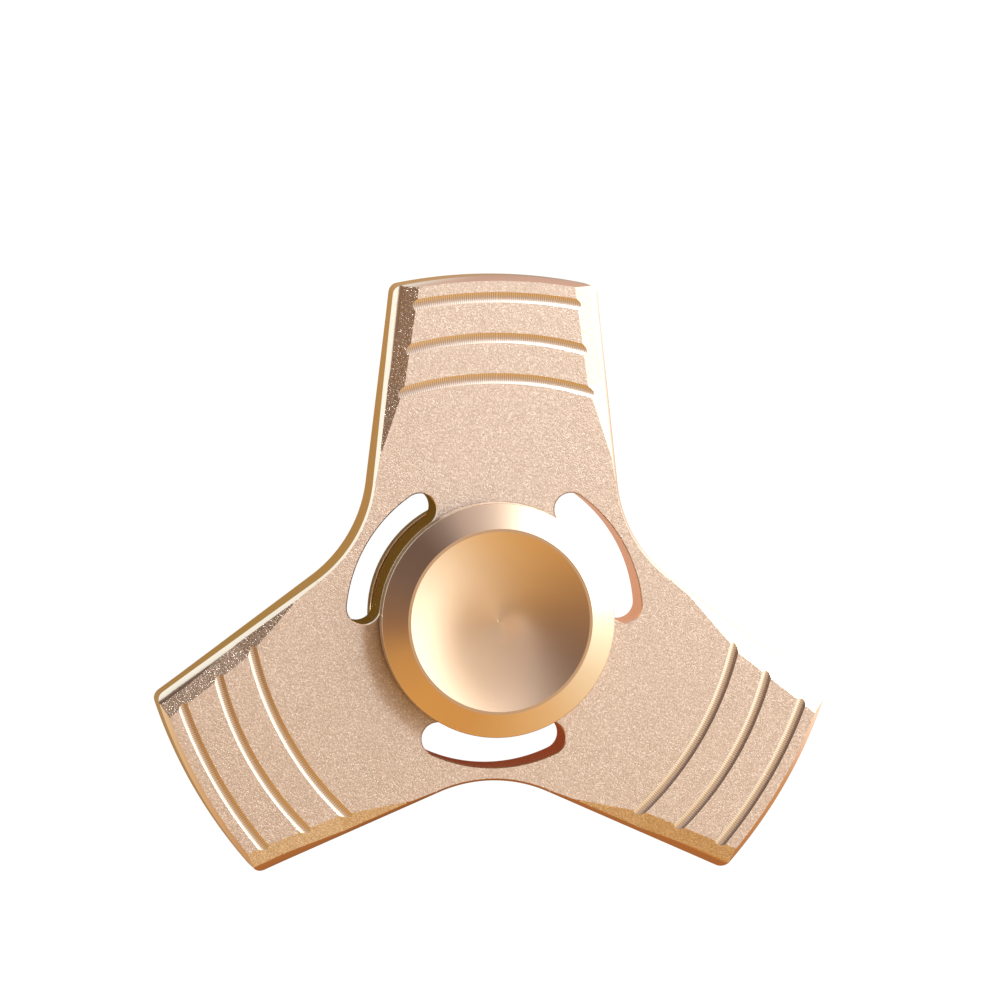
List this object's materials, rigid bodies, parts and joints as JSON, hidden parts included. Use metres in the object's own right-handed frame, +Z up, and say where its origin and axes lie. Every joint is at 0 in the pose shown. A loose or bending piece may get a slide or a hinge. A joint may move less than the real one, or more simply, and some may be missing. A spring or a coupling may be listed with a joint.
{
  "type": "fidget spinner",
  "caption": "Three-armed metal fidget spinner with grooved, bevelled arms that spin on a ball bearing held between dished finger caps.",
  "frame": {"origin": "centre of the ball bearing, on the spin axis and halfway through the body", "axes": "+Z up along the spin axis through the top cap, +Y along the first arm, +X to the right of that arm"},
  "size_m": [0.0608, 0.0537, 0.012],
  "materials": {
    "body_anodised": "bead-blasted champagne gold anodising with bright-cut edges",
    "cap_anodised": "fine-turned champagne gold anodising",
    "bearing_steel": "ground bearing steel",
    "ball_steel": "polished bearing steel",
    "shield_steel": "pressed stainless steel",
    "cage_brass": "pressed brass",
    "stud_steel": "plain steel thread"
  },
  "bodies": {
    "core": {"top_cap": "cap_anodised", "bottom_cap": "cap_anodised", "axle_stud": "stud_steel", "bearing_inner_ring": "bearing_steel"},
    "rotor": {"spinner_body": "body_anodised", "bearing_outer_ring": "bearing_steel", "shield_top": "shield_steel", "shield_bottom": "shield_steel", "snap_ring_top": "shield_steel", "snap_ring_bottom": "shield_steel"},
    "cage": {"cage_upper": "cage_brass", "cage_lower": "cage_brass", "cage_rivets": "bearing_steel"},
    "ball_01": {"bearing_ball_01": "ball_steel"},
    "ball_02": {"bearing_ball_02": "ball_steel"},
    "ball_03": {"bearing_ball_03": "ball_steel"},
    "ball_04": {"bearing_ball_04": "ball_steel"},
    "ball_05": {"bearing_ball_05": "ball_steel"},
    "ball_06": {"bearing_ball_06": "ball_steel"},
    "ball_07": {"bearing_ball_07": "ball_steel"},
    "ball_08": {"bearing_ball_08": "ball_steel"},
    "ball_09": {"bearing_ball_09": "ball_steel"},
    "ball_10": {"bearing_ball_10": "ball_steel"}
  },
  "joints": [
    {"name": "rotor_spin", "type": "hinge", "parent": "core", "child": "rotor", "pos_m": [0, 0, 0], "axis": [0, 0, 1], "continuous": true},
    {"name": "cage_orbit", "type": "hinge", "parent": "core", "child": "cage", "pos_m": [0, 0, 0], "axis": [0, 0, 1], "continuous": true},
    {"name": "ball_01_roll", "type": "hinge", "parent": "cage", "child": "ball_01", "pos_m": [0.00476, 0, 0], "axis": [0, 0, 1], "continuous": true},
    {"name": "ball_02_roll", "type": "hinge", "parent": "cage", "child": "ball_02", "pos_m": [0.00385, 0.0028, 0], "axis": [0, 0, 1], "continuous": true},
    {"name": "ball_03_roll", "type": "hinge", "parent": "cage", "child": "ball_03", "pos_m": [0.00147, 0.00453, 0], "axis": [0, 0, 1], "continuous": true},
    {"name": "ball_04_roll", "type": "hinge", "parent": "cage", "child": "ball_04", "pos_m": [-0.00147, 0.00453, 0], "axis": [0, 0, 1], "continuous": true},
    {"name": "ball_05_roll", "type": "hinge", "parent": "cage", "child": "ball_05", "pos_m": [-0.00385, 0.0028, 0], "axis": [0, 0, 1], "continuous": true},
    {"name": "ball_06_roll", "type": "hinge", "parent": "cage", "child": "ball_06", "pos_m": [-0.00476, 0, 0], "axis": [0, 0, 1], "continuous": true},
    {"name": "ball_07_roll", "type": "hinge", "parent": "cage", "child": "ball_07", "pos_m": [-0.00385, -0.0028, 0], "axis": [0, 0, 1], "continuous": true},
    {"name": "ball_08_roll", "type": "hinge", "parent": "cage", "child": "ball_08", "pos_m": [-0.00147, -0.00453, 0], "axis": [0, 0, 1], "continuous": true},
    {"name": "ball_09_roll", "type": "hinge", "parent": "cage", "child": "ball_09", "pos_m": [0.00147, -0.00453, 0], "axis": [0, 0, 1], "continuous": true},
    {"name": "ball_10_roll", "type": "hinge", "parent": "cage", "child": "ball_10", "pos_m": [0.00385, -0.0028, 0], "axis": [0, 0, 1], "continuous": true}
  ],
  "couplings": [
    {"joint": "cage_orbit", "follows": "rotor_spin", "ratio": 0.58333},
    {"joint": "ball_01_roll", "follows": "rotor_spin", "ratio": 2.9167},
    {"joint": "ball_02_roll", "follows": "rotor_spin", "ratio": 2.9167},
    {"joint": "ball_03_roll", "follows": "rotor_spin", "ratio": 2.9167},
    {"joint": "ball_04_roll", "follows": "rotor_spin", "ratio": 2.9167},
    {"joint": "ball_05_roll", "follows": "rotor_spin", "ratio": 2.9167},
    {"joint": "ball_06_roll", "follows": "rotor_spin", "ratio": 2.9167},
    {"joint": "ball_07_roll", "follows": "rotor_spin", "ratio": 2.9167},
    {"joint": "ball_08_roll", "follows": "rotor_spin", "ratio": 2.9167},
    {"joint": "ball_09_roll", "follows": "rotor_spin", "ratio": 2.9167},
    {"joint": "ball_10_roll", "follows": "rotor_spin", "ratio": 2.9167}
  ]
}
